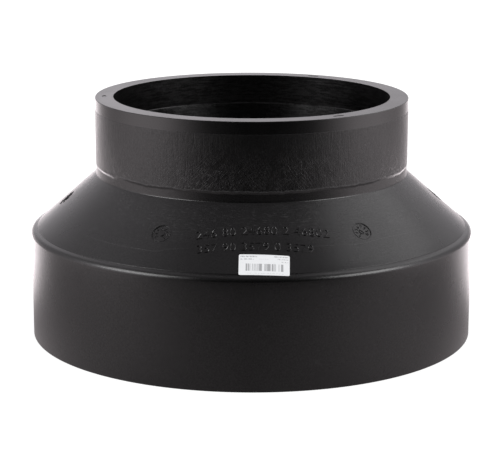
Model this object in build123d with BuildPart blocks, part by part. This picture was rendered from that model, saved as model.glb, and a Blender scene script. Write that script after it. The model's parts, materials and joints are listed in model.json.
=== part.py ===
"""Concentric butt-fusion pipe reducer, 355 mm to 250 mm, SDR 17, in black polyethylene.

One injection moulding, machined at both ends, with a paper label stuck on its cone. It stands on
its large end: the origin is the centre of that end face, +Z runs up the pipe axis to the small
end, and the label faces -Y. All lengths are in millimetres and all angles in degrees.
"""

from build123d import *
from math import cos, radians, sin, tan
import os

os.makedirs("parts", exist_ok=True)

# Pipe sizes: outside diameters, and the ratio of diameter to wall that both ends share
large_od = 355
small_od = 250
sdr = 17

# Lengths along the axis
height = 191
small_spigot_length = 61
large_spigot_length = 84.3
edge_break = 0.4

# Outside of the small spigot, from its end down to the cone
turned_length = 9.8
band_top_swell = 0.15
band_base_swell = 0.4
waist_height = 8.3
waist_drop = 1.2
waist_relief = 0.3
crease_round = 1.2

# Outside of the cone and the shoulder, where the two halves of the mould met
cone_angle = 41.3
parting_inset = 4.9
parting_step = 0.5
shoulder_round = 2.5

# Inside: both ends are bored to size, and between them the moulded wall is thicker
small_bore_depth = 23.7
large_bore_depth = 26
bore_step = 0.6
throat_wall = 20.5
throat_round = 22
shoulder_inner_round = 14

# Marks that the mould left: round inserts in the cone, and trimmed gates on the small end
insert_count = 6
insert_diameter = 15.5
insert_depth = 0.45
insert_slant = 32.3
dial_hub_diameter = 5
dial_hub_height = 0.35
gate_count = 3
gate_length = 10
gate_width = 3.4
gate_depth = 0.35
first_mark_azimuth = 33.5

# Paper label on the cone, tilted a little as a hand left it
label_width = 37
label_height = 18
label_thickness = 0.2
label_corner = 1.2
label_azimuth = 3.2
label_slant = 55.7
label_tilt = -3.1

# Radii and heights that follow from the sizes above
large_r = large_od / 2
small_r = small_od / 2
large_wall = large_od / sdr
large_bore_r = large_r - large_wall
small_bore_r = small_r - small_od / sdr
waist_r = small_r - waist_relief
crease_z = height - small_spigot_length
fall = tan(radians(cone_angle))


def outer_cone_z(radius):
    """Height of the cone's outer surface at a radius."""
    return crease_z - (radius - waist_r) * fall


def inner_cone_z(radius):
    """Height of the inner cone, which runs parallel to the outer one at the large end's wall."""
    return outer_cone_z(radius) - large_wall / cos(radians(cone_angle))


def cone_plane(azimuth, slant):
    """Plane that lies on the cone, at an azimuth from the front (-Y) round towards +X.

    slant is the distance down the slope from the crease where the cone meets the neck. Local x
    runs round the cone, local y points up the slope and the normal points out of the wall.
    """
    turn, slope = radians(azimuth), radians(cone_angle)
    radius = waist_r + slant * cos(slope)
    out_x, out_y = sin(turn), -cos(turn)
    return Plane(
        origin=(radius * out_x, radius * out_y, crease_z - slant * sin(slope)),
        x_dir=(cos(turn), sin(turn), 0),
        z_dir=(sin(slope) * out_x, sin(slope) * out_y, cos(slope)),
    )


# The moulding: one section turned about the pipe axis. Below the parting line the shoulder starts
# one step lower than the cone, and falls less steeply to the wall of the large spigot.
parting_r = large_r - parting_inset
band_base_z = crease_z + waist_height
turned_z = height - turned_length
throat_r = waist_r - throat_wall
moulded_bore_r = large_bore_r - bore_step

outer_points = [
    (large_r - edge_break, 0),
    (large_r, edge_break),
    (large_r, large_spigot_length),
    (parting_r, outer_cone_z(parting_r) - parting_step),
    (parting_r, outer_cone_z(parting_r)),
    (waist_r, crease_z),
    (waist_r, band_base_z),
    (small_r + band_base_swell, band_base_z + waist_drop),
    (small_r + band_top_swell, turned_z - band_top_swell),
    (small_r, turned_z),
    (small_r, height - edge_break),
    (small_r - edge_break, height),
]
outer_rounds = [0, 0, shoulder_round, 0, 0, crease_round, 0, 0, 0, 0, 0, 0]
inner_points = [
    (small_bore_r, height),
    (small_bore_r, height - small_bore_depth),
    (small_bore_r - bore_step, height - small_bore_depth - bore_step),
    (throat_r, inner_cone_z(throat_r)),
    (moulded_bore_r, inner_cone_z(moulded_bore_r)),
    (moulded_bore_r, large_bore_depth + bore_step),
    (large_bore_r, large_bore_depth),
    (large_bore_r, 0),
]
inner_rounds = [0, 0, 0, throat_round, shoulder_inner_round, 0, 0, 0]

mark_azimuths = [first_mark_azimuth + 360 / insert_count * turn for turn in range(insert_count)]
gate_azimuths = [first_mark_azimuth + 360 / gate_count * turn for turn in range(gate_count)]
gate_r = (small_r + small_bore_r) / 2

with BuildPart() as reducer_body:
    with BuildSketch(Plane.XZ):
        with BuildLine():
            FilletPolyline(
                outer_points + inner_points, radius=outer_rounds + inner_rounds, close=True
            )
        make_face()
    revolve(axis=Axis.Z)

    # Flat faces of the round mould inserts, each with the hub of its dial standing in it
    for azimuth in mark_azimuths:
        with BuildSketch(cone_plane(azimuth, insert_slant).offset(-insert_depth)):
            Circle(insert_diameter / 2)
        extrude(amount=2 * insert_depth, mode=Mode.SUBTRACT)
        with BuildSketch(cone_plane(azimuth, insert_slant).offset(-insert_depth)):
            Circle(dial_hub_diameter / 2)
        extrude(amount=dial_hub_height)

    # Gates cut off just below the small end's face
    with BuildSketch(Plane.XY.offset(height)):
        for azimuth in gate_azimuths:
            with PolarLocations(gate_r, 1, start_angle=azimuth - 90):
                SlotOverall(gate_length, gate_width, rotation=90)
    extrude(amount=-gate_depth, mode=Mode.SUBTRACT)

# The label: a skin of paper bent round the cone, cut out by its own rounded outline
label_top = label_slant - label_height
label_base = label_slant + label_height
with BuildPart() as barcode_label:
    with BuildSketch(Plane.XZ):
        with BuildLine():
            along = (cos(radians(cone_angle)), -sin(radians(cone_angle)))
            lift = (sin(radians(cone_angle)), cos(radians(cone_angle)))
            Polyline(
                [
                    (
                        waist_r + along[0] * slant + lift[0] * rise,
                        crease_z + along[1] * slant + lift[1] * rise,
                    )
                    for slant, rise in (
                        (label_top, 0),
                        (label_base, 0),
                        (label_base, label_thickness),
                        (label_top, label_thickness),
                    )
                ],
                close=True,
            )
        make_face()
    revolve(axis=Axis.Z)
    with BuildSketch(cone_plane(label_azimuth, label_slant)):
        RectangleRounded(label_width, label_height, label_corner, rotation=label_tilt)
    extrude(amount=label_width / 4, both=True, mode=Mode.INTERSECT)

reducer_body.part.label = "reducer_body"
barcode_label.part.label = "barcode_label"
export_step(reducer_body.part, "parts/reducer_body.step")
export_step(barcode_label.part, "parts/barcode_label.step")
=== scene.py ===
# %% [markdown]
# # A black polyethylene pipe reducer
#
# The object is a butt-fusion reducer: a plain spigot for wide pipe, a cone, and a plain spigot for
# narrower pipe, all in one injection moulding, with a paper label on the cone. The solid model is already
# made and packed. This script dresses it: it makes the finish of every surface, the marks that the mould
# and the lathe left, the print on the label, and the light and camera of a plain studio.
#
# Everything is in metres, in the frame of the solid model: +Z is the pipe axis, and the label faces -Y.

# %% Load the solid model and read its sizes
import json
from math import atan2, cos, pi, radians, sin, tan

import bmesh
import bpy
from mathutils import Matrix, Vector


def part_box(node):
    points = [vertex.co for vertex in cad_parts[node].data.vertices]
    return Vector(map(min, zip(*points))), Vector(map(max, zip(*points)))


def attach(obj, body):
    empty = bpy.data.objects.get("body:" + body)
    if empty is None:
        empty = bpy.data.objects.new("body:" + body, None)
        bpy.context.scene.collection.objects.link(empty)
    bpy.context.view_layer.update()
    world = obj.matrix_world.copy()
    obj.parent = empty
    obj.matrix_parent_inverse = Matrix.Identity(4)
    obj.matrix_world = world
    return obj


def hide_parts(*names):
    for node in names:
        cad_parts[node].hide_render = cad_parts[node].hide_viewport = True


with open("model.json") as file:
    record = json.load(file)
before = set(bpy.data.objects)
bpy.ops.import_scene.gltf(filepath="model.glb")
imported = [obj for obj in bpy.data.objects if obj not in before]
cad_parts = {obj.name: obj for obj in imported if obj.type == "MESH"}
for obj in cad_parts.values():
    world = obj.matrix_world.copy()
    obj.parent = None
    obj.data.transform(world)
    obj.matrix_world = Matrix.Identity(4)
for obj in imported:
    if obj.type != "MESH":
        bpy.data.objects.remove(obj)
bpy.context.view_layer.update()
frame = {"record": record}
mounts = {mount["name"]: mount["dims"] for mount in frame["record"]["mounts"]}
mm = 0.001

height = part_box("reducer_body")[1].z
large_r = mounts["large_spigot"]["r_mm"] * mm
small_r = mounts["small_spigot"]["r_mm"] * mm
large_bore_r = mounts["large_bore"]["r_mm"] * mm
small_bore_r = mounts["small_bore"]["r_mm"] * mm
print(f"height {height:.3f}, spigots {large_r:.4f} and {small_r:.4f}")

# %% [markdown]
# ## The section of the moulding
#
# A turned body is one outline swept round an axis. The outline could be drawn by hand as a curve, or read
# off the solid's triangles, but a few named sizes say more: each corner is worked out from the spigots, the
# cone's angle and the wall. Only the corners are listed. A short function rounds those that are round and
# divides the straight stretches, because the rough band on the neck needs rows there for its relief.

# %% Sizes of the section
edge_break = 0.4 * mm
neck_length = 61 * mm
turned_length = mounts["small_spigot"]["length_mm"] * mm + edge_break
waist_height = 8.3 * mm
waist_relief = 0.3 * mm
crease_round = 1.2 * mm
cone_angle = radians(41.3)
parting_step = 0.3 * mm
parting_inset = 4.9 * mm
shoulder_z, shoulder_round = 85.6 * mm, 4.5 * mm
small_bore_depth = mounts["small_bore"]["length_mm"] * mm
large_bore_depth = mounts["large_bore"]["length_mm"] * mm
bore_step = 0.6 * mm
throat_wall = 20.5 * mm

crease_z = height - neck_length
turned_z = height - turned_length
waist_r = small_r - waist_relief
large_wall = large_r - large_bore_r
throat_r = waist_r - throat_wall
moulded_bore_r = large_bore_r - bore_step


def cone_z(radius, depth=0.0):
    """Height of the cone at a radius, or of the parallel surface at a depth inside the wall."""
    return crease_z - (radius - waist_r) * tan(cone_angle) - depth / cos(cone_angle)


parting_r = large_r - parting_inset
print(f"cone from r {waist_r:.4f}, z {crease_z:.4f} to r {parting_r:.4f}, z {cone_z(parting_r):.4f}")

# %% Corners of the section: radius, height, rounding, and the row spacing of the stretch that follows
coarse, middle, fine = 9 * mm, 1.5 * mm, 0.35 * mm
small_round = 0.15 * mm
band_base_z = crease_z + waist_height
corners = [
    (large_r - edge_break, 0, small_round, middle),
    (large_r, edge_break, small_round, coarse),
    (large_r, shoulder_z, shoulder_round, middle),
    (parting_r, cone_z(parting_r) - parting_step, 0, middle),
    (parting_r, cone_z(parting_r), 0.3 * mm, coarse),
    (waist_r, crease_z, crease_round, 2 * mm),
    (waist_r, band_base_z - 2.5 * mm, 0, fine),
    (waist_r, band_base_z + 2.5 * mm, 0, middle),
    (waist_r, turned_z - small_round, 0, middle),
    (small_r, turned_z, 0, 3 * mm),
    (small_r, height - edge_break, 0, middle),
    (small_r - edge_break, height, 0, 3 * mm),
    (small_bore_r, height, small_round, 3 * mm),
    (small_bore_r, height - small_bore_depth, 0, middle),
    (small_bore_r - bore_step, height - small_bore_depth - bore_step, 0, coarse),
    (throat_r, cone_z(throat_r, large_wall), 22 * mm, coarse),
    (moulded_bore_r, cone_z(moulded_bore_r, large_wall), 14 * mm, coarse),
    (moulded_bore_r, large_bore_depth + bore_step, 0, middle),
    (large_bore_r, large_bore_depth, 0, coarse),
    (large_bore_r, 0, small_round, 5 * mm),
]


def corner_arc(before, corner, after, radius, step=radians(7)):
    """Points of the arc that rounds a corner, from the stretch before it to the stretch after it."""
    back, ahead = (before - corner).normalized(), (after - corner).normalized()
    half = back.angle(ahead) / 2
    centre = corner + (back + ahead).normalized() * (radius / sin(half))
    spoke = corner + back * (radius / tan(half)) - centre
    sweep = (pi - 2 * half) * (1 if spoke.x * ahead.y > spoke.y * ahead.x else -1)
    count = max(2, round(abs(sweep) / step))
    turns = [sweep * k / count for k in range(count + 1)]
    return [
        centre + Vector((spoke.x * cos(t) - spoke.y * sin(t), spoke.x * sin(t) + spoke.y * cos(t)))
        for t in turns
    ]


def section_rows(corners):
    """Every row of the closed section as (radius, height): rounded corners and divided stretches."""
    points = [Vector(corner[:2]) for corner in corners]
    bends = [
        corner_arc(points[k - 1], point, points[(k + 1) % len(points)], corners[k][2])
        if corners[k][2] else [point]
        for k, point in enumerate(points)
    ]
    rows = []
    for k, bend in enumerate(bends):
        start, end = bend[-1], bends[(k + 1) % len(bends)][0]
        steps = max(1, round((end - start).length / corners[k][3]))
        rows += bend + [start.lerp(end, s / steps) for s in range(1, steps)]
    return rows


rows = section_rows(corners)
print(f"section: {len(corners)} corners, {len(rows)} rows")

# %% [markdown]
# ## A short way to wire nodes
#
# Geometry Nodes and shader nodes are wired in the same way, so one small helper serves both. Each call adds
# a node and gives back its output, and either a socket or a plain number can be passed for an input.


# %% The wiring helper
class Wiring:
    """A node tree that is being wired."""

    def __init__(self, tree):
        self.tree = tree

    def node(self, kind, *values, **settings):
        """Adds a node, sets its properties, and fills its inputs in order. None leaves one alone."""
        node = self.tree.nodes.new(kind)
        for name, value in settings.items():
            setattr(node, name, value)
        live = [socket for socket in node.inputs if socket.enabled]
        for socket, value in zip(live, values):
            self.join(value, socket)
        return node

    def join(self, value, socket):
        """Links a socket to an input, or sets the input to a plain value."""
        if isinstance(value, bpy.types.NodeSocket):
            self.tree.links.new(value, socket)
        elif value is not None:
            socket.default_value = value

    def out(self, kind, *values, **settings):
        """The first live output of a new node."""
        return next(s for s in self.node(kind, *values, **settings).outputs if s.enabled)

    def math(self, operation, *values):
        """One Math node."""
        return self.out("ShaderNodeMath", *values, operation=operation)

    def vector(self, operation, *values):
        """One Vector Math node."""
        return self.out("ShaderNodeVectorMath", *values, operation=operation)

    def minus(self, value, taken):
        """A number less another."""
        return self.math("SUBTRACT", value, taken)

    def apart(self, one, other):
        """How far apart two numbers are."""
        return self.math("ABSOLUTE", self.minus(one, other))

    def xyz(self, x=0.0, y=0.0, z=0.0):
        """A vector from three numbers."""
        return self.out("ShaderNodeCombineXYZ", x, y, z)

    def parts(self, vector):
        """The three numbers of a vector."""
        return self.node("ShaderNodeSeparateXYZ", vector).outputs[:]

    def scaled(self, vector, amount):
        """A vector times a number."""
        node = self.node("ShaderNodeVectorMath", vector, operation="SCALE")
        self.join(amount, node.inputs["Scale"])
        return node.outputs[0]

    def turned(self, vector, angle):
        """A vector turned about the pipe axis."""
        node = self.node("ShaderNodeVectorRotate", vector, rotation_type="Z_AXIS")
        self.join(angle, node.inputs["Angle"])
        return node.outputs[0]

    def around(self, radius, azimuth, level):
        """The place at a radius and height, at an azimuth from the front (-Y) round towards +X."""
        across = self.product(radius, self.math("SINE", azimuth))
        return self.xyz(across, self.product(radius, self.math("COSINE", azimuth), -1.0), level)

    def course(self, place, stops):
        """A smooth curve through stops of (place from 0 to 1, height from 0 to 1)."""
        node = self.node("ShaderNodeFloatCurve", 1.0, place)
        points = node.mapping.curves[0].points
        for x, y in stops[1:-1]:
            points.new(x, y)
        points[0].location, points[-1].location = stops[0], stops[-1]
        node.mapping.update()
        return node.outputs[0]

    def mix(self, factor, low, high):
        """A number between two others."""
        return self.out("ShaderNodeMix", factor, low, high, data_type="FLOAT")

    def tint(self, factor, first, second):
        """A colour between two others."""
        return self.out("ShaderNodeMix", factor, first, second, data_type="RGBA")

    def group(self, tree, **values):
        """The outputs of a node group made here, whose inputs are given by name, in small letters."""
        kind = "ShaderNodeGroup" if tree.bl_idname == SHADER_TREE else "GeometryNodeGroup"
        node = self.node(kind, node_tree=tree)
        for name, value in values.items():
            self.join(value, node.inputs[name.replace("_", " ").capitalize()])
        return node.outputs

    def spaced(self, count, first):
        """The azimuth of each point of an even ring of points, from the first one on."""
        pitch = self.math("DIVIDE", 2 * pi, count)
        return self.math("MULTIPLY_ADD", self.out("GeometryNodeInputIndex"), pitch, first)

    def moved(self, shape, chosen=None, place=None, offset=None):
        """A shape whose chosen points are put in a place, or moved by an offset."""
        return self.out("GeometryNodeSetPosition", shape, chosen, place, offset)

    def on_points(self, points, piece, rotation, scale=None):
        """A copy of a piece on every point."""
        copies = self.node("GeometryNodeInstanceOnPoints", points)
        for name, value in (("Instance", piece), ("Rotation", rotation), ("Scale", scale)):
            self.join(value, copies.inputs[name])
        return copies.outputs[0]

    def joined(self, *shapes):
        """Several shapes as one."""
        node = self.node("GeometryNodeJoinGeometry")
        for shape in shapes:
            self.join(shape, node.inputs[0])
        return node.outputs[0]

    def finished(self, shape, finish):
        """The shape as one plain mesh, with its material on it."""
        real = self.node("GeometryNodeSetMaterial", self.out("GeometryNodeRealizeInstances", shape))
        self.join(finish, real.inputs["Material"])
        return real.outputs[0]

    def ramp(self, value, low, high, to_low=0.0, to_high=1.0):
        """A smooth step: value going from low to high becomes to_low going to to_high."""
        step = "SMOOTHSTEP"
        return self.out("ShaderNodeMapRange", value, low, high, to_low, to_high, interpolation_type=step)

    def product(self, *values):
        """All the values multiplied together."""
        result = values[0]
        for value in values[1:]:
            result = self.math("MULTIPLY", result, value)
        return result

    def total(self, *values):
        """All the values added together."""
        result = values[0]
        for value in values[1:]:
            result = self.math("ADD", result, value)
        return result

    def noise(self, vector, scale, detail=2.0, roughness=0.5):
        """Noise about 0.5, with a number of features per unit of the vector."""
        return self.out("ShaderNodeTexNoise", vector, scale, detail, roughness)

    def polar(self, position):
        """Radius, height and outward direction of a position about the pipe axis."""
        x, y, z = self.parts(position)
        flat = self.xyz(x, y)
        return self.vector("LENGTH", flat), z, self.vector("NORMALIZE", flat)


NUMBER, WHOLE, PLACE = "NodeSocketFloat", "NodeSocketInt", "NodeSocketVector"
SHAPE, WORDS, FINISH = "NodeSocketGeometry", "NodeSocketString", "NodeSocketMaterial"
SHADER_TREE, SHAPE_TREE = "ShaderNodeTree", "GeometryNodeTree"


def new_tree(name, kind, inputs, outputs):
    """A node group with named inputs and outputs: its wiring, what it is given, what it gives back."""
    tree = bpy.data.node_groups.new(name, kind)
    for label, socket_type in inputs.items():
        tree.interface.new_socket(name=label, in_out="INPUT", socket_type=socket_type)
    for label, socket_type in outputs.items():
        tree.interface.new_socket(name=label, in_out="OUTPUT", socket_type=socket_type)
    wires = Wiring(tree)
    return wires, wires.node("NodeGroupInput").outputs, wires.node("NodeGroupOutput").inputs


def new_material(name):
    """An empty material and its wiring."""
    material = bpy.data.materials.new(name)
    material.use_nodes = True
    material.node_tree.nodes.clear()
    return material, Wiring(material.node_tree)


def solid_surface(wires, colour, roughness, relief, depth):
    """Ends a material as a solid surface whose relief is so deep, and gives back its shader."""
    bump = wires.node("ShaderNodeBump")
    bump.inputs["Distance"].default_value = depth
    wires.join(relief, bump.inputs["Height"])
    shader = wires.node("ShaderNodeBsdfPrincipled")
    wires.join(colour, shader.inputs["Base Color"])
    wires.join(roughness, shader.inputs["Roughness"])
    wires.join(bump.outputs["Normal"], shader.inputs["Normal"])
    output = wires.node("ShaderNodeOutputMaterial")
    wires.join(shader.outputs["BSDF"], output.inputs["Surface"])
    return shader


def run_tree(name, tree, start_mesh, values, finish):
    """Runs a Geometry Nodes tree on a mesh, and leaves its result as a plain mesh piece."""
    holder = bpy.data.objects.new(name, start_mesh)
    bpy.context.scene.collection.objects.link(holder)
    modifier = holder.modifiers.new(name, "NODES")
    modifier.node_group = tree
    sockets = {item.name: item.identifier for item in tree.interface.items_tree if item.in_out == "INPUT"}
    for label, value in {**values, "Finish": finish}.items():
        modifier[sockets[label]] = value
    graph = bpy.context.evaluated_depsgraph_get()
    plain = bpy.data.meshes.new_from_object(holder.evaluated_get(graph), depsgraph=graph)
    holder.modifiers.remove(modifier)
    holder.data = plain
    plain.name = name
    triangles = sum(len(face.vertices) - 2 for face in plain.polygons)
    print(f"{name}: {len(plain.vertices)} vertices, {triangles} triangles")
    return holder


# %% [markdown]
# ## Shared finishes
#
# Black polyethylene comes out of the mould with a soft satin skin. A lathe then turns both ends, and leaves
# rings that are too fine to model but that stretch the reflections. Each such effect is one node group that
# gives back a height or a mask, so that every material can use it with its own values.
#
# They could be painted as images, but noise in object coordinates never stretches and has no seams.

# %% Rings that a lathe leaves, scratches, the marks of handling, and a painted highlight on the band's edge
base_wander = 5 * mm


def edge_wander(wires, outward):
    """How the band's lower edge goes up and down round the neck, between about -0.5 and 0.5."""
    return wires.minus(wires.noise(outward, 7.0, 5.0, 0.62), 0.5)


def turned_rings_group():
    """Heights of fine rings about the pipe axis, broken up round the turn."""
    wires, given, result = new_tree(
        "turned_rings", SHADER_TREE,
        {"Position": PLACE, "Rings per metre": NUMBER, "Breaks": NUMBER}, {"Height": NUMBER},
    )
    radius, level, outward = wires.polar(given["Position"])
    across = wires.product(wires.minus(level, radius), given["Rings per metre"])
    place = wires.vector("ADD", wires.scaled(outward, given["Breaks"]), wires.xyz(z=across))
    wires.join(wires.noise(place, 1.0, 3.0, 0.7), result["Height"])
    return wires.tree


def scratches_group():
    """A mask of fine scratches that run up the wall, leaning to one side."""
    wires, given, result = new_tree(
        "scratches", SHADER_TREE,
        {"Position": PLACE, "Per metre": NUMBER, "Stretch": NUMBER, "Lean": NUMBER, "Width": NUMBER},
        {"Mask": NUMBER},
    )
    up = wires.parts(given["Position"])[2]
    x, y, _ = wires.parts(wires.turned(given["Position"], wires.product(up, given["Lean"])))
    squeezed = wires.xyz(x, y, wires.math("DIVIDE", up, given["Stretch"]))
    waves = wires.noise(squeezed, given["Per metre"], 2.0, 0.6)
    off_line = wires.apart(waves, 0.5)
    wires.join(wires.ramp(off_line, given["Width"], 0.0), result["Mask"])
    return wires.tree


def handling_group():
    """A mask of small scuffs and specks of dust, and a slow mottling of the gloss."""
    wires, given, result = new_tree(
        "handling", SHADER_TREE,
        {"Position": PLACE, "Specks": NUMBER, "Scuffs": NUMBER}, {"Dust": NUMBER, "Mottle": NUMBER},
    )
    specks = wires.out("ShaderNodeTexVoronoi", given["Position"], 420.0)
    chance = wires.noise(given["Position"], 60.0, 1.0)
    dot = wires.product(wires.ramp(specks, 0.10, 0.04), wires.ramp(chance, 0.58, 0.66), given["Specks"])
    wisps = wires.ramp(wires.noise(given["Position"], 34.0, 6.0, 0.75), 0.62, 0.80)
    wires.join(wires.total(dot, wires.product(wisps, given["Scuffs"])), result["Dust"])
    wires.join(wires.noise(given["Position"], 22.0, 3.0), result["Mottle"])
    return wires.tree


def band_edge_highlight_group():
    """A mask of the ragged lower edge of the rough band, where a pale line is painted as the burr's
    highlight.
    """
    wires, given, result = new_tree(
        "band_edge_highlight", SHADER_TREE, {"Position": PLACE, "Wander": NUMBER}, {"Mask": NUMBER}
    )
    radius, level, outward = wires.polar(given["Position"])
    base = wires.math("MULTIPLY_ADD", edge_wander(wires, outward), given["Wander"], band_base_z + 0.1 * mm)
    off_edge = wires.apart(level, base)
    outside = wires.ramp(radius, waist_r - 2 * mm, waist_r - mm)
    line = wires.product(wires.ramp(off_edge, 0.5 * mm, 0.2 * mm), outside)
    breaks = wires.ramp(wires.noise(outward, 30.0, 3.0), 0.35, 0.6, 0.3, 1.0)
    wires.join(wires.product(line, breaks), result["Mask"])
    return wires.tree


def flow_line_group():
    """A mask of the hairline on the cone where two flows of plastic met, on either side of the figures."""
    wires, given, result = new_tree("flow_line", SHADER_TREE, {"Position": PLACE}, {"Mask": NUMBER})
    radius, _, outward = wires.polar(given["Position"])
    x, y, _ = wires.parts(outward)
    azimuth = wires.math("ARCTAN2", x, wires.product(y, -1.0))
    stops = [(degrees / 120 + 0.5, slant / 60) for degrees, slant in flow_course]
    course = wires.course(wires.math("MULTIPLY_ADD", azimuth, 1 / radians(120), 0.5), stops)
    slant = wires.product(wires.minus(radius, waist_r), 1 / cos(cone_angle))
    off_line = wires.apart(slant, wires.product(course, 60 * mm))
    turn = wires.math("ABSOLUTE", azimuth)
    seen = wires.product(
        wires.ramp(turn, radians(15), radians(20)), wires.ramp(turn, radians(56), radians(48))
    )
    wires.join(wires.product(wires.ramp(off_line, 0.35 * mm, 0.1 * mm), seen), result["Mask"])
    return wires.tree


flow_course = [
    (-60, 46.0), (-47, 47.5), (-31, 48.2), (-26, 48.2), (-22, 45.0), (-17, 43.5), (0, 41.5), (20, 41.3),
    (26, 42.2), (30, 43.1), (34, 42.7), (40, 41.5), (47, 42.1), (60, 43.0),
]
turned_rings = turned_rings_group()
scratches = scratches_group()
handling = handling_group()
band_edge_highlight = band_edge_highlight_group()
flow_line = flow_line_group()
print("shared finishes:", [tree.name for tree in (turned_rings, scratches, handling, band_edge_highlight, flow_line)])

# %% [markdown]
# ## The black polyethylene
#
# One material covers the whole moulding, because it is one piece of plastic. Masks made from radius and
# height say where the lathe has been: the rim, the top of the neck, and the bore of the small end. The rest
# shows the skin of the mould. Two materials with a hard edge between them would need the faces sorted first,
# and would leave no soft change where the tool runs out.

# %% Where each finish lies, as masks from radius and height


def finish_masks(wires, position):
    """Masks of the rim, the rough band, the turned neck and bore, the inside, the cone and the wide end."""
    radius, level, _ = wires.polar(position)
    edge = 0.4 * mm
    outside = wires.ramp(radius, small_r - 3 * mm, small_r - 2 * mm)
    below_rim = wires.ramp(level, height - 0.02 * mm, height - 0.05 * mm)
    above_waist = wires.ramp(level, band_base_z - 1 * mm, band_base_z + 1 * mm)
    below_turned = wires.ramp(level, turned_z + edge, turned_z - edge)
    bore_top = wires.ramp(level, height - small_bore_depth - edge, height - small_bore_depth)
    inside = wires.minus(1.0, outside)
    return {
        "rim": wires.minus(1.0, below_rim),
        "band": wires.product(outside, above_waist, below_turned),
        "turned neck": wires.product(outside, below_rim, wires.minus(1.0, below_turned)),
        "bore": wires.product(inside, bore_top, below_rim),
        "inside": wires.product(inside, below_rim),
        "wide end": wires.product(outside, wires.ramp(level, shoulder_z - 3 * mm, shoulder_z - 5 * mm)),
        "cone": wires.product(
            outside, wires.ramp(level, crease_z, crease_z - 2 * mm),
            wires.ramp(radius, large_r - 5 * mm, large_r - 8 * mm),
        ),
    }


# %% The marks on the plastic


def plastic_marks(wires, position, masks):
    """What the mould, the lathe and handling left on the skin, and a painted highlight, as masks and heights
    by name.
    """
    radius, level, outward = wires.polar(position)
    handled = wires.group(handling, position=position, specks=0.5, scuffs=0.25)
    fine_rings, ripples, broken_rings = (
        wires.group(turned_rings, position=position, rings_per_metre=pitch, breaks=breaks)["Height"]
        for pitch, breaks in ((900.0, 1.0), (620.0, 11.0), (950.0, 34.0))
    )
    left_lean, right_lean, upright = (
        wires.group(scratches, position=position, per_metre=pitch, stretch=stretch, lean=lean, width=width)
        for pitch, stretch, lean, width in (
            (420.0, 4.0, 5.0, 0.045), (350.0, 3.0, -7.0, 0.040), (520.0, 9.0, 0.0, 0.16),
        )
    )
    patchy = wires.ramp(wires.noise(position, 70.0, 2.0), 0.2, 0.6, 0.4, 1.0)
    low_on_band = wires.ramp(level, turned_z, band_base_z, 0.25, 1.0)
    near_neck = wires.ramp(radius, 165 * mm, 135 * mm)
    dash = wires.ramp(broken_rings, 0.54, 0.68)
    dash_patches = wires.ramp(wires.noise(position, 28.0, 2.0), 0.42, 0.62)
    nick = wires.ramp(wires.noise(outward, 55.0, 1.0), 0.68, 0.74)
    top_edge = wires.ramp(level, height - 1.3 * mm, height - 0.5 * mm)
    return {
        "dust": handled["Dust"],
        "mottle": handled["Mottle"],
        "fine rings": fine_rings,
        "ripples": ripples,
        "upright": upright["Mask"],
        "worn": wires.product(wires.total(left_lean["Mask"], right_lean["Mask"]), patchy, low_on_band),
        # A painted highlight along the band's lower edge
        "edge_highlight": wires.group(band_edge_highlight, position=position, wander=base_wander)["Mask"],
        "near neck": near_neck,
        "dashes": wires.product(dash, dash_patches, near_neck, masks["cone"]),
        "ridge": wires.product(wires.group(flow_line, position=position)["Mask"], masks["cone"]),
        "nicks": wires.product(nick, masks["turned neck"], top_edge),
    }


# %% What the marks do to the colour and to the roughness


def plastic_colour(wires, masks, marks):
    """Near black, with pale dust, scratches and nicks over it, and a painted highlight on the band's lower
    edge.
    """
    plastic, dust = (0.0021, 0.0019, 0.0020, 1.0), (0.16, 0.16, 0.165, 1.0)
    pale = wires.total(
        wires.product(marks["dust"], 0.5),
        wires.product(marks["worn"], masks["band"], 0.03),
        wires.product(marks["worn"], masks["wide end"], 0.01),
        # Painted highlight: a pale line on the band's lower edge, standing in for the light its burr catches
        wires.product(marks["edge_highlight"], 0.2),
        wires.product(marks["dashes"], 0.10),
        wires.product(marks["ridge"], 0.06),
        wires.product(marks["nicks"], 0.5),
    )
    return wires.tint(pale, plastic, dust)


def plastic_roughness(wires, masks, marks):
    """Satin, a little smoother on the turned neck, and rougher in the bore and on band and rim."""
    moulded, turned, rough, rim = 0.28, 0.23, 0.31, 0.34
    return wires.total(
        moulded,
        wires.product(masks["turned neck"], turned - moulded),
        wires.product(masks["bore"], rough - moulded),
        wires.product(masks["band"], rough - moulded),
        wires.product(masks["rim"], rim - moulded),
        wires.product(wires.minus(marks["mottle"], 0.5), 0.12),
    )


# %% What the marks do to the relief and to the gloss
full_gloss = 0.6


def plastic_relief(wires, position, masks, marks):
    """The grain of the skin, scratches, the flow line, and the rings of the lathe and of the flow."""
    skin = wires.noise(position, 700.0, 3.0, 0.6)
    scratched = wires.total(masks["band"], wires.product(masks["wide end"], 0.25))
    ringed = wires.total(masks["turned neck"], masks["rim"], masks["wide end"])
    rippled = wires.math("MULTIPLY_ADD", marks["near neck"], 0.9, 0.4)
    return wires.total(
        wires.product(skin, wires.total(0.22, wires.product(masks["band"], 0.2))),
        wires.product(marks["worn"], scratched, -0.35),
        wires.product(marks["upright"], masks["band"], 0.3),
        wires.product(marks["ridge"], 0.25),
        wires.product(marks["fine rings"], ringed, 0.25),
        wires.product(marks["fine rings"], masks["bore"], 0.8),
        wires.product(marks["ripples"], masks["cone"], rippled),
    )


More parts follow.
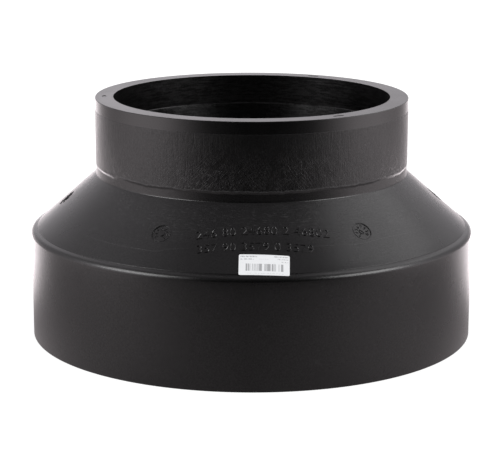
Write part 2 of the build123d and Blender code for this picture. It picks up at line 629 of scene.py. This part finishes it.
def plastic_dulling(wires, position, masks, marks):
    """How far each place is duller than full gloss, most of all inside."""
    grain = wires.minus(wires.noise(position, 850.0, 2.0, 0.7), 0.5)
    gloss = wires.total(
        0.5,
        wires.product(masks["turned neck"], 0.12),
        wires.product(masks["inside"], -0.46),
        wires.product(grain, wires.total(0.4, wires.product(masks["band"], 0.1))),
        wires.product(marks["fine rings"], masks["inside"], 0.25),
        wires.product(wires.ramp(marks["ripples"], 0.4, 0.6), masks["inside"], 0.18),
        wires.product(marks["dashes"], 0.3),
    )
    return wires.math("MAXIMUM", wires.minus(1.0, wires.math("DIVIDE", gloss, full_gloss)), 0.0)


# %% The material of the moulding


def black_polyethylene():
    """Satin black plastic: moulded skin, turned ends, a rough scratched band, a little dust and a painted
    highlight.
    """
    material, wires = new_material("black_polyethylene")
    position = wires.node("ShaderNodeTexCoord").outputs["Object"]
    masks = finish_masks(wires, position)
    marks = plastic_marks(wires, position, masks)
    shader = solid_surface(
        wires, plastic_colour(wires, masks, marks), plastic_roughness(wires, masks, marks),
        plastic_relief(wires, position, masks, marks), 0.12 * mm,
    )
    # The export keeps Metallic and drops a linked specular level. On a base this dark, Metallic only
    # takes reflection away, so it carries the dull places.
    wires.join(plastic_dulling(wires, position, masks, marks), shader.inputs["Metallic"])
    shader.inputs["Specular IOR Level"].default_value = full_gloss
    shader.inputs["IOR"].default_value = 1.51
    return material


plastic_finish = black_polyethylene()
print("material:", plastic_finish.name, "with", len(plastic_finish.node_tree.nodes), "nodes")

# %% [markdown]
# ## The moulding itself
#
# The whole body follows one rule, so Geometry Nodes make it: the section is swept round a circle, then the
# rough band on the neck is pushed out by noise, and the round inserts and the gates are cut in by a Boolean.
# Spin or Screw would sweep it as well, but then the band could not be tuned after the sweep.
#
# The rough band is where the moulding was left as it came: it stands a little proud of the turned end and
# of the smooth waist, and its lower edge wanders. That edge shows in the outline, so it is real relief.

# %% Seats spaced evenly round the cone, shared by the recesses and the dials in them


def cone_seats_group():
    """Points on the cone and the turn that makes +Z their outward normal."""
    wires, given, result = new_tree(
        "cone_seats", SHAPE_TREE,
        {"Count": WHOLE, "First azimuth": NUMBER, "Slant": NUMBER, "Lift": NUMBER},
        {"Points": SHAPE, "Rotation": PLACE},
    )
    azimuth = wires.spaced(given["Count"], given["First azimuth"])
    slant, lift, run, fall = given["Slant"], given["Lift"], cos(cone_angle), sin(cone_angle)
    radius = wires.total(waist_r, wires.product(slant, run), wires.product(lift, fall))
    level = wires.total(crease_z, wires.product(slant, -fall), wires.product(lift, run))
    place = wires.around(radius, azimuth, level)
    wires.join(wires.out("GeometryNodePoints", given["Count"], place), result["Points"])
    wires.join(wires.xyz(cone_angle, 0.0, azimuth), result["Rotation"])
    return wires.tree


cone_seats = cone_seats_group()

# %% The tree of the moulding


def rough_band(wires, given):
    """How far each point of the neck is pushed out: the band's swell, its lumps and its ragged edge."""
    position = wires.out("GeometryNodeInputPosition")
    radius, level, outward = wires.polar(position)
    base = wires.math("MULTIPLY_ADD", edge_wander(wires, outward), given["Base wander"], given["Band base"])
    above = wires.minus(level, base)
    on_neck = wires.product(
        wires.math("LESS_THAN", level, wires.minus(given["Band top"], 0.5 * small_round)),
        wires.ramp(radius, waist_r - 2 * mm, waist_r - 1 * mm),
    )
    swell = wires.out(
        "ShaderNodeMapRange", level, given["Band base"], given["Band top"],
        given["Base swell"], given["Top swell"],
    )
    lower = wires.ramp(level, given["Band top"], given["Band base"], 0.1, 1.0)
    lumps = wires.minus(wires.noise(position, 150.0, 4.0, 0.6), 0.5)
    push = wires.total(swell, wires.product(lumps, given["Lumps"], lower))
    ragged = wires.ramp(wires.noise(outward, 40.0, 3.0), 0.35, 0.65)
    crest = wires.product(wires.ramp(above, 1.3 * mm, 0.1 * mm), ragged, given["Burr"])
    amount = wires.product(wires.total(push, crest), wires.ramp(above, -2.0 * mm, 0.1 * mm), on_neck)
    return wires.scaled(outward, amount)


def insert_discs(wires, given):
    """A thick disc on each seat of the cone, which cuts the round recess of a mould insert."""
    seats = wires.group(
        cone_seats, count=given["Insert count"], first_azimuth=given["First azimuth"],
        slant=given["Insert slant"], lift=0.0,
    )
    thick = wires.product(given["Insert depth"], 2.0)
    disc = wires.out("GeometryNodeMeshCylinder", 72, 1, 1, given["Insert radius"], thick)
    return wires.on_points(seats["Points"], disc, seats["Rotation"])


def gate_ovals(wires, given):
    """A flat oval at each gate on the small end's face, which cuts the scar of the gate."""
    azimuth = wires.spaced(given["Gate count"], given["First azimuth"])
    place = wires.around(given["Gate radius"], azimuth, height)
    spots = wires.out("GeometryNodePoints", given["Gate count"], place)
    drum = wires.out("GeometryNodeMeshCylinder", 48, 1, 1, 0.5, 1.0)
    return wires.on_points(spots, drum, wires.xyz(z=azimuth), given["Gate size"])


def smooth_but_creased(wires, mesh, crease=radians(28)):
    """Smooth shading everywhere except over the sharper folds."""
    smooth = wires.out("GeometryNodeSetShadeSmooth", mesh, domain="FACE")
    fold = wires.node("GeometryNodeInputMeshEdgeAngle").outputs["Unsigned Angle"]
    sharp = wires.math("GREATER_THAN", fold, crease)
    return wires.out("GeometryNodeSetShadeSmooth", smooth, sharp, False, domain="EDGE")


def moulding_tree():
    """The section swept round the axis, with the rough band, insert recesses and gate scars."""
    wires, given, result = new_tree(
        "moulding", SHAPE_TREE,
        {
            "Section": SHAPE, "Around": WHOLE, "Path radius": NUMBER,
            "Band base": NUMBER, "Band top": NUMBER, "Base swell": NUMBER, "Top swell": NUMBER,
            "Base wander": NUMBER, "Lumps": NUMBER, "Burr": NUMBER,
            "Insert count": WHOLE, "First azimuth": NUMBER, "Insert slant": NUMBER,
            "Insert radius": NUMBER, "Insert depth": NUMBER,
            "Gate count": WHOLE, "Gate radius": NUMBER, "Gate size": PLACE, "Finish": FINISH,
        },
        {"Moulding": SHAPE},
    )
    outline = wires.out("GeometryNodeMeshToCurve", given["Section"])
    path = wires.out("GeometryNodeCurvePrimitiveCircle", given["Around"], given["Path radius"])
    swept = wires.out("GeometryNodeCurveToMesh", path, outline)
    banded = wires.moved(swept, offset=rough_band(wires, given))
    cut = wires.node("GeometryNodeMeshBoolean", operation="DIFFERENCE", solver="MANIFOLD")
    wires.join(banded, cut.inputs["Mesh 1"])
    for cutters in (insert_discs(wires, given), gate_ovals(wires, given)):
        wires.join(wires.out("GeometryNodeRealizeInstances", cutters), cut.inputs["Mesh 2"])
    shaded = smooth_but_creased(wires, cut.outputs["Mesh"])
    wires.join(wires.finished(shaded, given["Finish"]), result["Moulding"])
    return wires.tree


# %% Sweep the moulding
path_radius = 50 * mm
section = bpy.data.meshes.new("section")
ring_of_edges = [(k, (k + 1) % len(rows)) for k in range(len(rows))]
section.from_pydata([(row.x - path_radius, -row.y, 0) for row in rows], ring_of_edges, [])
insert_radius, insert_depth, insert_slant = 7.75 * mm, 0.45 * mm, 32.3 * mm
first_azimuth = radians(33.5)
gate_r = (small_r + small_bore_r) / 2
gate_size = (10 * mm, 3.4 * mm, 0.7 * mm)
moulding = run_tree(
    "moulding", moulding_tree(), section,
    {
        "Around": 528, "Path radius": path_radius,
        "Band base": band_base_z, "Band top": turned_z, "Base swell": 0.3 * mm, "Top swell": 0.42 * mm,
        "Base wander": base_wander, "Lumps": 0.4 * mm, "Burr": 0.08 * mm,
        "Insert count": 6, "First azimuth": first_azimuth, "Insert slant": insert_slant,
        "Insert radius": insert_radius, "Insert depth": insert_depth,
        "Gate count": 3, "Gate radius": gate_r, "Gate size": gate_size,
    },
    plastic_finish,
)
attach(moulding, "root")
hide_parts("reducer_body")

# %% [markdown]
# ## Laying flat things on the cone
#
# A cone unrolls flat without stretching, so a paper label lies on it along straight lines of the unrolled
# surface. The raised figures do the same, because they were cut in the mould as one straight strip. One node
# group does that rolling up for both: it takes flat points, and gives back their places on the cone.

# %% The group that rolls flat points onto the cone


def roll_onto_cone_group():
    """Flat points (x across, y up the slope, z out of the wall) rolled onto the cone."""
    wires, given, result = new_tree(
        "roll_onto_cone", SHAPE_TREE,
        {"Flat": PLACE, "Azimuth": NUMBER, "Slant": NUMBER, "Tilt": NUMBER}, {"Place": PLACE},
    )
    x, y, lift = wires.parts(wires.turned(given["Flat"], given["Tilt"]))
    top = waist_r / cos(cone_angle)
    from_apex = wires.minus(wires.total(given["Slant"], top), y)
    reach = wires.vector("LENGTH", wires.xyz(x, from_apex))
    unrolled = wires.math("ARCTAN2", x, from_apex)
    azimuth = wires.math("MULTIPLY_ADD", unrolled, 1 / cos(cone_angle), given["Azimuth"])
    radius = wires.total(wires.product(reach, cos(cone_angle)), wires.product(lift, sin(cone_angle)))
    fall = wires.product(wires.minus(reach, top), -sin(cone_angle))
    level = wires.total(crease_z, fall, wires.product(lift, cos(cone_angle)))
    wires.join(wires.around(radius, azimuth, level), result["Place"])
    return wires.tree


roll_onto_cone = roll_onto_cone_group()

# %% [markdown]
# ## Raised figures
#
# The mould carries two straight lines of raised marks. Here they are plain counting numbers, which say
# nothing about a maker. Text nodes draw them, an extrusion gives them height, and the group above rolls them
# onto the cone. Their crowns are drawn in over a bevel, as a cutter with a round nose leaves a mould, and
# those sloping edges are what catches the light of the side lamps.

# %% The tree of one row of figures


def drawn_up(wires, mesh, rise, chosen=None):
    """A mesh with its chosen faces extruded straight up, and a selection of the new top faces."""
    up = wires.xyz(z=1.0)
    return wires.node("GeometryNodeExtrudeMesh", mesh, chosen, up, rise, False, mode="FACES").outputs


def raised_text(wires, words, size, spacing, full_rise, bevel, draft):
    """Closed solid figures on the plane z = 0. Their crowns are drawn in by draft over the top bevel."""
    written = wires.node("GeometryNodeStringToCurves", align_x="CENTER", align_y="MIDDLE")
    for name, value in (("String", words), ("Size", size), ("Character Spacing", spacing)):
        wires.join(value, written.inputs[name])
    faces = wires.out("GeometryNodeFillCurve", wires.out("GeometryNodeRealizeInstances", written.outputs[0]))
    walls = drawn_up(wires, faces, wires.minus(full_rise, bevel))
    crown = drawn_up(wires, walls["Mesh"], bevel, walls["Top"])
    level_normal = wires.vector("MULTIPLY", wires.out("GeometryNodeInputNormal"), wires.xyz(1.0, 1.0))
    inward = wires.scaled(wires.vector("NORMALIZE", level_normal), wires.product(draft, -1.0))
    drafted = wires.moved(crown["Mesh"], chosen=crown["Top"], offset=inward)
    closed = wires.joined(drafted, wires.out("GeometryNodeFlipFaces", faces))
    merged = wires.node("GeometryNodeMergeByDistance", closed)
    merged.inputs["Distance"].default_value = 0.01 * mm
    return merged.outputs[0]


def figure_row_tree():
    """A line of figures, extruded, sunk a little into the wall and rolled onto the cone."""
    wires, given, result = new_tree(
        "figure_row", SHAPE_TREE,
        {
            "Start": SHAPE, "Figures": WORDS, "Size": NUMBER, "Spacing": NUMBER, "Rise": NUMBER,
            "Sink": NUMBER, "Bevel": NUMBER, "Draft": NUMBER, "Azimuth": NUMBER, "Slant": NUMBER,
            "Tilt": NUMBER, "Finish": FINISH,
        },
        {"Figures": SHAPE},
    )
    closed = raised_text(
        wires, given["Figures"], given["Size"], given["Spacing"],
        wires.total(given["Rise"], given["Sink"]), given["Bevel"], given["Draft"],
    )
    here = wires.out("GeometryNodeInputPosition")
    sunk = wires.vector("SUBTRACT", here, wires.xyz(z=given["Sink"]))
    rolled = wires.group(
        roll_onto_cone, flat=sunk, azimuth=given["Azimuth"], slant=given["Slant"], tilt=given["Tilt"]
    )
    placed = wires.moved(closed, place=rolled["Place"])
    wires.join(wires.finished(placed, given["Finish"]), result["Figures"])
    return wires.tree


figure_row = figure_row_tree()
nothing = bpy.data.meshes.new("nothing")
mark_azimuth = radians(3.0)

# %% Write the two rows


def raised_figures(name, words, slant, shift, spacing):
    """One row of raised figures, with the edges of the strokes broken by a bevel."""
    turn = mark_azimuth + shift / (waist_r + slant * cos(cone_angle))
    row = run_tree(
        name, figure_row, nothing,
        {
            "Figures": words, "Size": 10.4 * mm, "Spacing": spacing, "Rise": 0.65 * mm, "Sink": 0.25 * mm,
            "Bevel": 0.3 * mm, "Draft": 0.3 * mm, "Azimuth": turn, "Slant": slant, "Tilt": 0.0,
        },
        plastic_finish,
    )
    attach(row, "root")


raised_figures("upper_figures", "246 80 24680 2 46802", 25.4 * mm, 1.0 * mm, 1.05)
raised_figures("lower_figures", "357 90 3579 0 3579", 39.5 * mm, -5.3 * mm, 1.03)

# %% [markdown]
# ## Dials in the round recesses
#
# Each recess is the face of a date insert: a steel plug with a scale of numbers round a hub, and a pointer
# that can be turned in the mould. It leaves a ring, a scale and a pointer in low relief. One dial is built
# flat and then set on the same seats as the recesses. The scale is a straight line of text bent to a circle.

# %% The tree of the dials


def dials_tree():
    """One dial of ring, scale and pointer, repeated on the seats round the cone."""
    wires, given, result = new_tree(
        "dials", SHAPE_TREE,
        {
            "Start": SHAPE, "Count": WHOLE, "First azimuth": NUMBER, "Slant": NUMBER, "Sink": NUMBER,
            "Ring radius": NUMBER, "Line": NUMBER, "Scale": WORDS, "Scale radius": NUMBER,
            "Figure size": NUMBER, "Pointer": PLACE, "Pointer turn": NUMBER, "Hub radius": NUMBER,
            "Rise": NUMBER, "Finish": FINISH,
        },
        {"Dials": SHAPE},
    )
    rise = given["Rise"]
    low, high = wires.product(rise, -0.5), wires.product(rise, 0.5)
    hub = wires.out("GeometryNodeMeshCylinder", 40, 1, 1, given["Hub radius"], wires.product(rise, 1.2))
    circle = wires.out("GeometryNodeCurvePrimitiveCircle", 72, given["Ring radius"])
    bead = wires.out("GeometryNodeCurvePrimitiveCircle", 8, wires.product(given["Line"], 0.5))
    ring = wires.out("GeometryNodeCurveToMesh", circle, bead)
    pointer = wires.node("GeometryNodeTransform", wires.out("GeometryNodeMeshCube", given["Pointer"]))
    wires.join(wires.xyz(z=rise), pointer.inputs["Translation"])
    wires.join(wires.xyz(z=given["Pointer turn"]), pointer.inputs["Rotation"])

    closed = raised_text(
        wires, given["Scale"], given["Figure size"], 1.0, rise, high, wires.product(rise, 0.4)
    )
    x, y, z = wires.parts(wires.out("GeometryNodeInputPosition"))
    reach = wires.total(given["Scale radius"], y)
    turn = wires.math("DIVIDE", x, given["Scale radius"])
    bow = wires.xyz(
        wires.product(reach, wires.math("SINE", turn)), wires.product(reach, wires.math("COSINE", turn)),
        wires.total(z, low),
    )
    dial = wires.joined(hub, ring, pointer.outputs[0], wires.moved(closed, place=bow))
    seats = wires.group(
        cone_seats, count=given["Count"], first_azimuth=given["First azimuth"], slant=given["Slant"],
        lift=wires.minus(high, given["Sink"]),
    )
    placed = wires.on_points(seats["Points"], dial, seats["Rotation"])
    wires.join(wires.finished(placed, given["Finish"]), result["Dials"])
    return wires.tree


# %% Set the dials in
dials = run_tree(
    "dials", dials_tree(), nothing,
    {
        "Count": 6, "First azimuth": first_azimuth, "Slant": insert_slant, "Sink": insert_depth,
        "Ring radius": 7.2 * mm, "Line": 0.32 * mm, "Scale": "3 4 5 6 7 8 9 0",
        "Scale radius": 4.3 * mm, "Figure size": 3.7 * mm, "Pointer": (0.8 * mm, 4.4 * mm, 0.5 * mm),
        "Pointer turn": radians(35), "Hub radius": 2.2 * mm, "Rise": 0.38 * mm,
    },
    plastic_finish,
)
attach(dials, "root")

# %% [markdown]
# ## The paper label
#
# The label is a sheet 37 by 18 mm with rounded corners, printed in grey. A flat grid of faces is made first,
# with its own UV map, so that the print stays square to the paper however it is rolled. The print is bars
# and lines that say nothing: ink has no height, so it belongs in the material and not in the mesh.

# %% Sizes of the label
label_width, label_height, label_corner = 37 * mm, 18 * mm, 1.2 * mm
label_thickness = 0.14 * mm
label_sink = 0.03 * mm
label_azimuth, label_slant, label_tilt = radians(3.2), 55.7 * mm, radians(-3.1)
parting_slant = (parting_r - waist_r) / cos(cone_angle)
land_fall = cone_z(parting_r) - parting_step - shoulder_z
land_kink = cone_angle - atan2(land_fall, large_r - parting_r)

# %% The flat sheet


def label_sheet():
    """A flat closed sheet with rounded corners, in rows whose width follows the corner arcs."""
    columns, corner_steps, plain_steps = 48, 5, 18
    arc = [label_corner * (1 - cos(k / corner_steps * pi / 2)) for k in range(corner_steps)]
    straight = label_height / 2 - label_corner
    heights = [-label_height / 2 + rise for rise in arc]
    heights += [-straight + 2 * straight * k / plain_steps for k in range(plain_steps + 1)]
    heights += [label_height / 2 - rise for rise in reversed(arc)]
    mesh = bmesh.new()
    uv = mesh.loops.layers.uv.new("print")
    for level in (0.0, label_thickness):
        for y in heights:
            beyond = max(0.0, abs(y) - straight)
            half = label_width / 2 - label_corner + (label_corner**2 - min(beyond, label_corner) ** 2) ** 0.5
            for k in range(columns + 1):
                mesh.verts.new((half * (2 * k / columns - 1), y, level))
    mesh.verts.ensure_lookup_table()
    mesh.verts.index_update()
    wide, tall = columns + 1, len(heights)
    top = wide * tall
    for row in range(tall - 1):
        for k in range(columns):
            a = row * wide + k
            quad = [a, a + 1, a + wide + 1, a + wide]
            mesh.faces.new([mesh.verts[top + v] for v in quad])
            mesh.faces.new([mesh.verts[v] for v in reversed(quad)])
    rim = [edge for edge in mesh.edges if edge.is_boundary and edge.verts[0].co.z < label_thickness / 2]
    for edge in rim:
        loop = edge.link_loops[0]
        a, b = loop.vert.index, loop.link_loop_next.vert.index
        mesh.faces.new([mesh.verts[v] for v in (b, a, top + a, top + b)])
    for face in mesh.faces:
        for loop in face.loops:
            loop[uv].uv = (loop.vert.co.x / label_width + 0.5, loop.vert.co.y / label_height + 0.5)
    sheet = bpy.data.meshes.new("label_sheet")
    mesh.to_mesh(sheet)
    mesh.free()
    return sheet


flat_label = label_sheet()
print(f"label sheet: {len(flat_label.polygons)} faces")

# %% The tree that rolls the label on


def label_tree():
    """The flat sheet rolled onto the cone, with the slight waves of paper on a moulded skin."""
    wires, given, result = new_tree(
        "label", SHAPE_TREE,
        {
            "Sheet": SHAPE, "Azimuth": NUMBER, "Slant": NUMBER, "Tilt": NUMBER, "Sink": NUMBER,
            "Waves": NUMBER, "Finish": FINISH,
        },
        {"Label": SHAPE},
    )
    here = wires.out("GeometryNodeInputPosition")
    wave = wires.minus(wires.noise(here, 90.0, 1.0), 0.5)
    flat = wires.turned(here, given["Tilt"])
    top = waist_r / cos(cone_angle)
    from_apex = wires.vector("SUBTRACT", wires.xyz(0.0, wires.total(given["Slant"], top), 0.0), flat)
    beyond = wires.minus(wires.vector("LENGTH", from_apex), top + parting_slant)
    drop = wires.minus(wires.product(beyond, tan(land_kink)), parting_step)
    bend = wires.math("MAXIMUM", 0.0, drop)
    lift = wires.total(bend, wires.minus(wires.product(wave, given["Waves"]), given["Sink"]))
    rolled = wires.group(
        roll_onto_cone, flat=wires.vector("ADD", here, wires.xyz(z=lift)), azimuth=given["Azimuth"],
        slant=given["Slant"], tilt=given["Tilt"],
    )
    placed = wires.moved(given["Sheet"], place=rolled["Place"])
    wires.join(wires.finished(placed, given["Finish"]), result["Label"])
    return wires.tree


# %% The print, as shader groups: one bar, and one strip of many bars


def printed_bar_group():
    """A mask that is 1 inside one printed bar, with edges as soft as the ink's."""
    wires, given, result = new_tree(
        "printed_bar", SHADER_TREE,
        {"Place": PLACE, "Left": NUMBER, "Right": NUMBER, "Middle": NUMBER, "Weight": NUMBER},
        {"Ink": NUMBER},
    )
    x, y, _ = wires.parts(given["Place"])
    soft = 0.08 * mm
    off_line = wires.apart(y, given["Middle"])
    half = wires.product(given["Weight"], 0.5)
    ink = wires.product(
        wires.ramp(x, wires.minus(given["Left"], soft), given["Left"]),
        wires.ramp(x, wires.math("ADD", given["Right"], soft), given["Right"]),
        wires.ramp(off_line, wires.math("ADD", half, soft), half),
    )
    wires.join(ink, result["Ink"])
    return wires.tree


printed_bar = printed_bar_group()


def label_paper():
    """White coated paper with lines of grey print and a strip of bars."""
    material, wires = new_material("label_paper")
    uv = wires.node("ShaderNodeUVMap", uv_map="print").outputs[0]
    size = wires.xyz(label_width, label_height, 0.0)
    place = wires.vector("MULTIPLY", wires.vector("SUBTRACT", uv, wires.xyz(0.5, 0.5, 0.0)), size)
    # Lines of print: left end, right end, middle and weight in millimetres, and darkness
    lines = [
        (-17.2, -5.2, 7.2, 1.1, 0.55), (-17.2, -7.5, 4.9, 0.9, 0.5), (-4.0, 3.4, 5.0, 0.7, 0.16),
        (7.0, 17.4, 7.4, 0.9, 0.5), (8.2, 17.4, 5.3, 0.8, 0.45), (12.6, 17.4, 3.0, 0.8, 0.45),
        (-12.2, 14.4, -7.4, 0.45, 0.3),
    ]
    ink = 0.0
    upright = wires.vector("MULTIPLY", place, wires.xyz(1.0, 0.35))
    letters = wires.ramp(wires.noise(upright, 1300.0, 1.0), 0.35, 0.6)
    for left, right, middle, weight, darkness in lines:
        bar = wires.group(
            printed_bar, place=place, left=left * mm, right=right * mm, middle=middle * mm,
            weight=weight * mm,
        )
        ink = wires.total(ink, wires.product(bar["Ink"], darkness, letters))
    strip = wires.group(
        printed_bar, place=place, left=-13.5 * mm, right=14.6 * mm, middle=-2.2 * mm, weight=6.2 * mm
    )
    bar_pitch = 0.42 * mm
    number = wires.math("FLOOR", wires.product(wires.parts(place)[0], 1 / bar_pitch))
    pick = wires.out("ShaderNodeTexWhiteNoise", number, noise_dimensions="1D")
    bars = wires.product(wires.math("GREATER_THAN", pick, 0.45), strip["Ink"], 0.62)
    ink = wires.total(ink, bars)

    paper, grey = (0.83, 0.84, 0.86, 1.0), (0.12, 0.12, 0.13, 1.0)
    shade = tuple(0.97 * part for part in paper[:3]) + (1.0,)
    fibre = wires.noise(place, 2500.0, 3.0)
    colour = wires.tint(ink, wires.tint(fibre, paper, shade), grey)
    solid_surface(wires, colour, wires.ramp(fibre, 0.0, 1.0, 0.42, 0.52), fibre, 0.02 * mm)
    return material


paper_finish = label_paper()

# %% Stick the label on
label = run_tree(
    "label", label_tree(), flat_label,
    {
        "Azimuth": label_azimuth, "Slant": label_slant, "Tilt": label_tilt, "Sink": label_sink,
        "Waves": 0.05 * mm,
    },
    paper_finish,
)
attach(label, "root")
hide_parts("barcode_label")

# %% [markdown]
# ## Studio
#
# Black plastic shows almost nothing but what it reflects, so the studio is planned as reflections. A white
# tent stands behind and at both sides, the front stays dark, and the ceiling is dim. Two lamps stand at the
# left and right front, where they catch the crease and the shoulder, and two weaker ones hang at the back
# right. The camera sees a white floor and backdrop, and a rough surface sees them as plain pale light, so
# that colours come out as they are written. Only glossy reflections see the tent and its dark front.
#
# The tent could be built of white sheets, but a brightness round the compass is easier to tune. One function
# makes it three times: for the tent itself, and for the floor near the part and far from it, because the
# wide spigot reflects the near floor and the neck the far one.

# %% The tent's brightness round the compass
tent_turn = radians(-5)


def compass_group(name, stops):
    """Brightness by compass direction, from stops of (degrees from the front, brightness)."""
    wires, given, result = new_tree(
        name, SHADER_TREE, {"Direction": PLACE, "Turn": NUMBER}, {"Brightness": NUMBER}
    )
    x, y, _ = wires.parts(wires.turned(given["Direction"], given["Turn"]))
    turn = wires.math("ARCTAN2", wires.math("ABSOLUTE", x), wires.product(y, -1.0))
    shares = [(degrees / 180, brightness / brightest) for degrees, brightness in stops]
    compass = wires.course(wires.product(turn, 1 / pi), shares)
    wires.join(wires.product(compass, brightest), result["Brightness"])
    return wires.tree


brightest = 6.0
front_and_sides = [(0, 0.0), (24, 0.0), (38, 0.12), (58, 0.95), (72, 1.6), (90, 1.5), (106, 1.0)]
tent = compass_group(
    "tent", front_and_sides + [(123, 0.65), (142, 0.6), (158, 0.8), (170, 1.1), (180, 1.4)]
)
far_floor = compass_group(
    "far_floor", front_and_sides + [(123, 0.62), (137, 0.75), (148, 1.5), (158, 2.2), (170, 3.0), (180, 3.5)]
)
near_floor = compass_group("near_floor", [
    (0, 0.32), (20, 0.44), (42, 0.66), (65, 0.65), (77, 0.59), (90, 0.56), (101, 0.72), (111, 1.5),
    (119, 2.5), (130, 3.8), (150, 4.8), (180, 5.2),
])

# %% The floor


def studio_floor():
    """A large white floor that keeps a soft shadow. From below it can be seen through."""
    material, wires = new_material("studio_floor")
    rays = wires.node("ShaderNodeLightPath").outputs
    place = wires.node("ShaderNodeTexCoord").outputs["Object"]
    white = (1.0, 1.0, 1.0, 1.0)
    seen = wires.node("ShaderNodeEmission", white, 0.8).outputs[0]
    matte = wires.node("ShaderNodeBsdfDiffuse", (0.35, 0.35, 0.35, 1.0)).outputs[0]
    to_camera = wires.out("ShaderNodeAddShader", seen, matte)
    near = wires.group(near_floor, direction=place, turn=0.0)["Brightness"]
    far = wires.group(far_floor, direction=place, turn=tent_turn)["Brightness"]
    glow = wires.mix(wires.ramp(wires.vector("LENGTH", place), 0.50, 0.60), near, far)
    dim = wires.node("ShaderNodeEmission", (1.0, 0.92, 0.945, 1.0), glow).outputs[0]
    plain = wires.node("ShaderNodeBsdfDiffuse", (0.6, 0.6, 0.6, 1.0)).outputs[0]
    other = wires.out("ShaderNodeMixShader", rays["Is Glossy Ray"], plain, dim)
    above = wires.out("ShaderNodeMixShader", rays["Is Camera Ray"], other, to_camera)
    clear = wires.node("ShaderNodeBsdfTransparent").outputs[0]
    back = wires.node("ShaderNodeNewGeometry").outputs["Backfacing"]
    output = wires.node("ShaderNodeOutputMaterial")
    wires.join(wires.out("ShaderNodeMixShader", back, above, clear), output.inputs["Surface"])
    return material


floor_mesh = bpy.data.meshes.new("floor")
reach = 12.0
corner_signs = ((-1, -1), (1, -1), (1, 1), (-1, 1))
floor_mesh.from_pydata([(x * reach, y * reach, 0) for x, y in corner_signs], [], [(0, 1, 2, 3)])
floor_mesh.materials.append(studio_floor())
floor = bpy.data.objects.new("floor", floor_mesh)
bpy.context.scene.collection.objects.link(floor)

# %% The world


def studio_world():
    """White to the camera, plain pale light to rough surfaces, and the tent to glossy ones."""
    world = bpy.data.worlds.new("studio")
    world.use_nodes = True
    world.node_tree.nodes.clear()
    wires = Wiring(world.node_tree)
    rays = wires.node("ShaderNodeLightPath").outputs
    direction = wires.node("ShaderNodeTexCoord").outputs["Generated"]
    _, back, up = wires.parts(direction)
    low = wires.group(tent, direction=direction, turn=tent_turn)["Brightness"]
    # The ceiling is nearly dark over the front, and grows lighter in two steps towards the back
    slope = wires.total(wires.ramp(back, -0.55, -0.25, 0.06, 0.24), wires.ramp(back, -0.3, 0.25, 0.0, 0.44))
    ceiling = wires.mix(wires.ramp(up, 0.86, 0.98), slope, 0.3)
    studio = wires.mix(wires.ramp(up, 0.52, 0.72), low, ceiling)
    glossy = wires.mix(rays["Is Glossy Ray"], 1.13, studio)
    strength = wires.mix(rays["Is Camera Ray"], glossy, 1.0)
    colour = wires.tint(rays["Is Glossy Ray"], (1.0, 1.0, 1.0, 1.0), (1.0, 0.955, 1.0, 1.0))
    background = wires.node("ShaderNodeBackground", colour, strength)
    output = wires.node("ShaderNodeOutputWorld")
    wires.join(background.outputs[0], output.inputs["Surface"])
    return world


bpy.context.scene.world = studio_world()

# %% The lamps


def soft_lamp(name, place, target, size, power):
    """An area lamp that faces a target and that only glossy reflections see."""
    lamp = bpy.data.lights.new(name, "AREA")
    lamp.shape = "RECTANGLE"
    lamp.size, lamp.size_y = size
    lamp.energy = power
    holder = bpy.data.objects.new(name, lamp)
    holder.location = place
    holder.rotation_euler = (Vector(target) - Vector(place)).to_track_quat("-Z", "Y").to_euler()
    holder.visible_camera = False
    holder.visible_diffuse = False
    bpy.context.scene.collection.objects.link(holder)
    return holder


middle_point = (0, 0, 0.1)
soft_lamp("lamp_high_right", (0.75, 0.36, 1.05), middle_point, (0.8, 0.8), 1.9)
soft_lamp("lamp_back_right", (0.74, 0.88, 0.71), middle_point, (0.7, 0.6), 0.25)
soft_lamp("lamp_left", (-1.06, -0.56, 0.71), middle_point, (0.8, 0.7), 9.0)
soft_lamp("lamp_right", (1.06, -0.56, 0.71), middle_point, (0.8, 0.7), 9.0)

# %% The camera: a long lens a metre and a half away, a little above the small end
camera_data = bpy.data.cameras.new("camera")
camera_data.lens = 131.76
camera_data.sensor_width = 36.0
camera_data.shift_x = -0.00289
camera = bpy.data.objects.new("camera", camera_data)
camera.location = (0.0, -1.449, 0.4199)
camera.rotation_euler = (radians(76.886), 0.0, 0.0)
camera.rotation_euler.rotate_axis("Z", 0.0019)
bpy.context.scene.collection.objects.link(camera)
bpy.context.scene.camera = camera
bpy.context.scene.view_settings.view_transform = "Standard"
